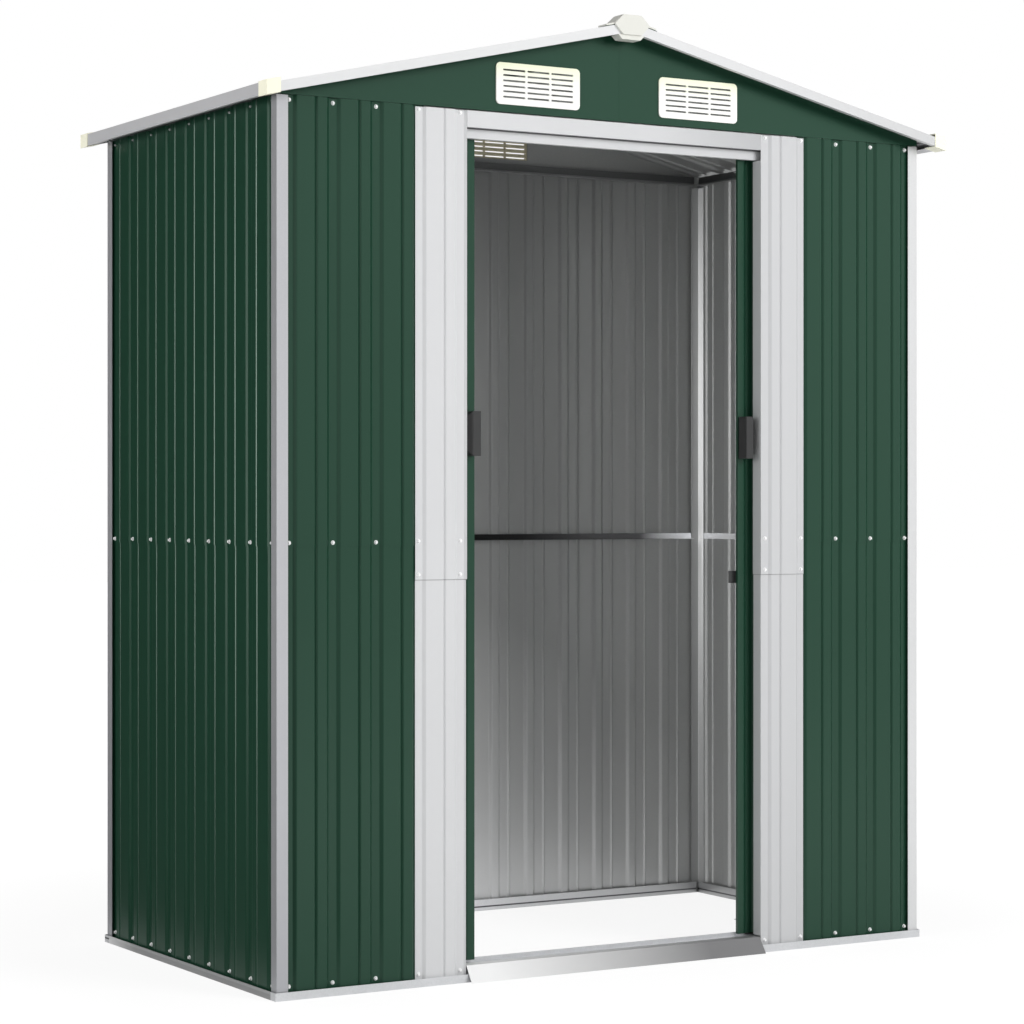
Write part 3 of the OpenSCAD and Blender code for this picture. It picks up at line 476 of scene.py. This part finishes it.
# Painted a little greener towards the top.
shade_by_place(vent_cream, "Z", start=(vent_low.z + vent_high.z) / 2, end=vent_high.z,
               colour=(0.92, 0.955, 0.72))
# Painted shade: the vents at the back are yellower and darker.
shade_by_place(vent_cream, "Y", start=0.0, end=0.1, colour=(0.72, 0.66, 0.47))
VENT_EDGE_RADIUS = 0.0006
VENT_FOLD = (math.radians(60), math.radians(120))
dressed("gable_vents", "shed", (vent_cream,), None, VENT_EDGE_RADIUS, VENT_FOLD, segments=2)

# Roof: two ribbed green sheets screwed down through their valleys, white trim folded over their
# sloping edges, pale trim along the eaves and a folded strip over the ridge.
# The rake trims carry painted shade, a little darker towards the right side.
UP = Vector((0, 0, 1))
for half in ("roof_left", "roof_right"):
    dressed(half, "shed", (green_paint, under_zinc), UP, FOLD_RADIUS, SHEET_FOLD)
TRIM_SKIN = {"Peel": 380.0, "Drift": 5.0}
trim_white = finish_material("trim_white", paint_skin, TRIM_SKIN, dark=(0.74, 0.745, 0.75),
                             light=(0.79, 0.795, 0.80), rough=(0.30, 0.42), metallic=0.1, bump=0.06)
# Painted shade: darker towards the right.
shade_by_place(trim_white, "X", start=0.0, end=0.9, colour=(0.61, 0.615, 0.62))
coat_node("rake_trims", trim_white)
eave_grey = finish_material("eave_grey", paint_skin, TRIM_SKIN, dark=(0.55, 0.55, 0.565),
                            light=(0.60, 0.60, 0.615), rough=(0.32, 0.44), metallic=0.15, bump=0.06)
coat_node("eave_trims", eave_grey)
coat_node("ridge_cap", green_paint)
WALL_HEIGHT = 2.008
ROOF_PITCH = math.radians(12.85)
ROOF_VALLEYS = 9
ROOF_ROWS = (0.115, 0.50, 0.885)
ROOF_SEAT = 0.0149
SHEET = 0.0012
ridge_low_z = WALL_HEIGHT + HALF_WIDTH * math.tan(ROOF_PITCH)
roof_pitch_y = (2 * HALF_DEPTH - 2 * SHEET) / (ROOF_VALLEYS - 1)
roof_places = []
for side in (-1, 1):
    outward = Vector((side * math.sin(ROOF_PITCH), 0, math.cos(ROOF_PITCH)))
    for reach in ROOF_ROWS:
        for count in range(ROOF_VALLEYS):
            on_slope = Vector((side * reach, count * roof_pitch_y - HALF_DEPTH + SHEET,
                               ridge_low_z - reach * math.tan(ROOF_PITCH)))
            roof_places.append((on_slope + outward * ROOF_SEAT, outward))
screw_row("roof_screws", "shed", roof_places, screw_zinc)

# Roof caps: cream plastic mouldings pushed over the trim joints at the four corners and the ridge
# ends. High up, on the ridge ends, the finish is painted less yellow, and duller as painted shade.
cream_plastic = finish_material("cream_plastic", moulded_skin, CREAM_GRAIN, dark=(0.985, 0.968, 0.76),
                                light=(1.0, 0.988, 0.83), rough=(0.34, 0.46), metallic=0.0, bump=0.08)
# Painted shade: the ridge ends are duller and less yellow.
shade_by_place(cream_plastic, "Z", start=2.10, end=2.15, colour=(0.74, 0.74, 0.69))
for caps in ("roof_corner_caps", "ridge_end_caps"):
    coat_node(caps, cream_plastic)

# Sliding doors: green ribbed sheets with folded edges, zinc rails on the back, plastic runners
# in the upper track and guides over the lower lip, and a dark moulded handle on each.
# The right door has a latch tab of the same dark plastic.
dark_plastic = finish_material("dark_plastic", moulded_skin, {"Texture": 900.0, "Cloud": 20.0},
                               dark=(0.020, 0.0205, 0.021), light=(0.028, 0.0285, 0.029),
                               rough=(0.34, 0.44), metallic=0.0, bump=0.12, specular=0.8)
HANDLE_RADIUS = 0.0015
HANDLE_FOLD = (math.radians(25), math.radians(120))
for body in ("left_door", "right_door"):
    dressed(body + "_panel", body, sheet_sides, FRONT, FOLD_RADIUS, SHEET_FOLD)
    coat_node(body + "_rails", inner_zinc)
    coat_node(body + "_guides", dark_plastic)
    dressed(body + "_handle", body, (dark_plastic,), None, HANDLE_RADIUS, HANDLE_FOLD)
coat_node("right_door_latch", dark_plastic)

# Floor: a wide white sheet under the shed that keeps its shadow and looks white to the camera.
# Gloss sees it glow inside and behind the shed, and dark beyond the left wall, so that the lower
# part of that wall keeps its deep green.
FLOOR_SIZE = 30.0
FLOOR_DROP = 0.0005
FLOOR_GLOW_SHARE = 0.82
FLOOR_WHITE, FLOOR_DARK = (0.9, 0.9, 0.9, 1), (0.08, 0.08, 0.08, 1)
floor_mesh = bpy.data.meshes.new("floor")
floor_work = bmesh.new()
bmesh.ops.create_grid(floor_work, x_segments=1, y_segments=1, size=FLOOR_SIZE)
bmesh.ops.translate(floor_work, verts=floor_work.verts, vec=(0, 0, -FLOOR_DROP))
floor_work.to_mesh(floor_mesh)
floor_work.free()
floor = bpy.data.objects.new("floor", floor_mesh)
bpy.context.scene.collection.objects.link(floor)
floor_material = bpy.data.materials.new("floor_white")
floor_material.use_nodes = True
floor_tree = floor_material.node_tree
floor_tree.nodes.clear()
floor_path = floor_tree.nodes.new("ShaderNodeLightPath").outputs
floor_shine = floor_path["Is Glossy Ray"]
for axis, start, end in (("X", -0.86, -0.80), ("Y", -0.46, -0.40)):
    floor_inside = map_range(floor_tree, place_along(floor_tree, axis), start, end)
    floor_shine = math_node(floor_tree, "MULTIPLY", floor_shine, floor_inside)
floor_seen = math_node(floor_tree, "MAXIMUM", floor_path["Is Camera Ray"], floor_shine)
floor_reach = floor_tree.nodes.new("ShaderNodeVectorMath")
floor_reach.operation = "LENGTH"
floor_tree.links.new(floor_tree.nodes.new("ShaderNodeTexCoord").outputs["Object"], floor_reach.inputs[0])
floor_rise = map_range(floor_tree, floor_reach.outputs["Value"], start=1.2, end=3.5, low=1.08, high=1.25)
floor_glow = floor_tree.nodes.new("ShaderNodeEmission")
floor_tree.links.new(math_node(floor_tree, "MULTIPLY", floor_seen, floor_rise), floor_glow.inputs["Strength"])
floor_fade = map_range(floor_tree, place_along(floor_tree, "X"), start=-0.95, end=-1.15)
floor_dark = math_node(floor_tree, "MULTIPLY", floor_path["Is Glossy Ray"], floor_fade)
floor_diffuse = floor_tree.nodes.new("ShaderNodeBsdfDiffuse")
floor_colour = mix_colours(floor_tree, floor_dark, FLOOR_WHITE, FLOOR_DARK)
floor_tree.links.new(floor_colour, floor_diffuse.inputs["Color"])
floor_mix = floor_tree.nodes.new("ShaderNodeMixShader")
floor_share = math_node(floor_tree, "MULTIPLY", floor_seen, FLOOR_GLOW_SHARE)
floor_tree.links.new(floor_share, floor_mix.inputs["Fac"])
floor_tree.links.new(floor_diffuse.outputs["BSDF"], floor_mix.inputs[1])
floor_tree.links.new(floor_glow.outputs["Emission"], floor_mix.inputs[2])
floor_out = floor_tree.nodes.new("ShaderNodeOutputMaterial")
floor_tree.links.new(floor_mix.outputs["Shader"], floor_out.inputs["Surface"])
floor_mesh.materials.append(floor_material)

# World: plain white to the camera, and an even level of soft light on the object.
# Gloss sees it bright only in front, and a little brighter on the right than on the left.
WORLD_LEVEL = 0.42
world = bpy.data.worlds.new("studio")
bpy.context.scene.world = world
world.use_nodes = True
world_tree = world.node_tree
world_tree.nodes.clear()
world_glow = world_tree.nodes.new("ShaderNodeBackground")
world_glow.inputs["Color"].default_value = (1, 1, 1, 1)
world_path = world_tree.nodes.new("ShaderNodeLightPath").outputs
world_side = world_tree.nodes.new("ShaderNodeSeparateXYZ")
world_turn = world_tree.nodes.new("ShaderNodeTexCoord").outputs["Generated"]
world_tree.links.new(world_turn, world_side.inputs["Vector"])
world_shine = world_path["Is Glossy Ray"]
for axis, start, end, low, high in (("Y", -0.66, -0.42, 1.0, 0.05), ("X", 0.36, 0.62, 0.68, 1.04)):
    world_fall = map_range(world_tree, world_side.outputs[axis], start, end, low, high)
    world_shine = math_node(world_tree, "MULTIPLY", world_shine, world_fall)
world_seen = math_node(world_tree, "MAXIMUM", world_path["Is Camera Ray"], world_path["Is Transmission Ray"])
world_bright = math_node(world_tree, "MAXIMUM", world_seen, world_shine)
world_plain = math_node(world_tree, "MULTIPLY", world_path["Is Diffuse Ray"], WORLD_LEVEL)
world_strength = math_node(world_tree, "MAXIMUM", world_bright, world_plain)
world_tree.links.new(world_strength, world_glow.inputs["Strength"])
world_out = world_tree.nodes.new("ShaderNodeOutputWorld")
world_tree.links.new(world_glow.outputs["Background"], world_out.inputs["Surface"])


# Lamps: soft studio panels in front and at the left, and weak ones inside that lift the lower walls
# and the back wall. Three more light only the corner angles, the sheets of the right wall and the
# rails at half height, which the picture shows brighter than the other lamps make them.
def soft_lamp(name, place, target, size, power, unseen_by):
    lamp = bpy.data.lights.new(name, "AREA")
    lamp.shape = "RECTANGLE"
    lamp.size, lamp.size_y = size
    lamp.energy = power
    holder = bpy.data.objects.new(name, lamp)
    holder.location = place
    holder.rotation_euler = (Vector(target) - Vector(place)).to_track_quat("-Z", "Y").to_euler()
    holder.visible_camera = "camera" not in unseen_by
    holder.visible_glossy = "gloss" not in unseen_by
    holder.visible_diffuse = "diffuse" not in unseen_by
    bpy.context.scene.collection.objects.link(holder)
    return holder


def light_only(lamp, pieces):
    lit = bpy.data.collections.new(lamp.name + "_lit")
    for piece in pieces:
        lit.objects.link(piece)
    lamp.light_linking.receiver_collection = lit


soft_lamp("key_lamp", place=(2.0, -5.6, 3.2), target=(0.0, -0.4, 1.1), size=(2.4, 2.4), power=215.0,
          unseen_by=("gloss",))
soft_lamp("side_lamp", place=(-5.7, -0.7, 2.0), target=(-0.9, -0.3, 1.9), size=(3.4, 2.4), power=120.0,
          unseen_by=("gloss",))
soft_lamp("glint_panel", place=(-5.7, -2.1, 1.75), target=(-0.9, -2.1, 1.75), size=(1.7, 2.9), power=45.0,
          unseen_by=("diffuse",))
soft_lamp("floor_lamp", place=(0.0, 0.0, 0.002), target=(0.0, 0.0, 1.0), size=(1.70, 0.86), power=0.45,
          unseen_by=("camera", "gloss"))
soft_lamp("door_lamp", place=(-0.12, -0.33, 0.60), target=(0.08, 0.4, 0.50), size=(0.52, 1.0), power=0.42,
          unseen_by=("camera", "gloss"))
LEG_IN = 0.013
leg_y = angle_end.y - LEG_IN
corner_lamp = soft_lamp("corner_lamp", place=(0.45, leg_y, 1.27), target=(0.889, leg_y, 1.27),
                        size=(0.02, 1.0), power=2.6, unseen_by=("camera", "gloss"))
light_only(corner_lamp, [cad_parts["inner_corner_angles"]])
flank_lamp = soft_lamp("flank_lamp", place=(0.86, -0.15, 1.30), target=(0.895, 0.35, 1.30),
                       size=(0.03, 1.5), power=4.9, unseen_by=("camera", "gloss"))
light_only(flank_lamp, [wall_skins["right_wall_lower"], wall_skins["right_wall_upper"]])
rail_lamp = soft_lamp("rail_lamp", place=(0.45, 0.0, 1.03), target=(0.89, 0.46, 1.01),
                      size=(0.1, 0.1), power=6.6, unseen_by=("camera", "gloss"))
light_only(rail_lamp, [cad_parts["mid_rails"]])

# Camera: level, with upright lines kept upright, at the picture's viewing angle.
# Its place and focal length come from a two-point perspective fit in a picture of 1024 pixels.
SENSOR = 36.0
FOCAL_PIXELS = 2775.09
PICTURE = 1024.0
HORIZON_ROW = 503.0
CAMERA_PLACE = (-3.5847, -6.0237, 1.1017)
CAMERA_TURN = math.radians(-30.704)
camera_data = bpy.data.cameras.new("camera")
camera_data.sensor_width = SENSOR
camera_data.lens = SENSOR * FOCAL_PIXELS / PICTURE
camera_data.shift_y = (HORIZON_ROW - PICTURE / 2) / PICTURE
camera = bpy.data.objects.new("camera", camera_data)
camera.location = CAMERA_PLACE
camera.rotation_euler = (math.radians(90), 0, CAMERA_TURN)
bpy.context.scene.collection.objects.link(camera)
bpy.context.scene.camera = camera
bpy.context.scene.view_settings.view_transform = "Standard"
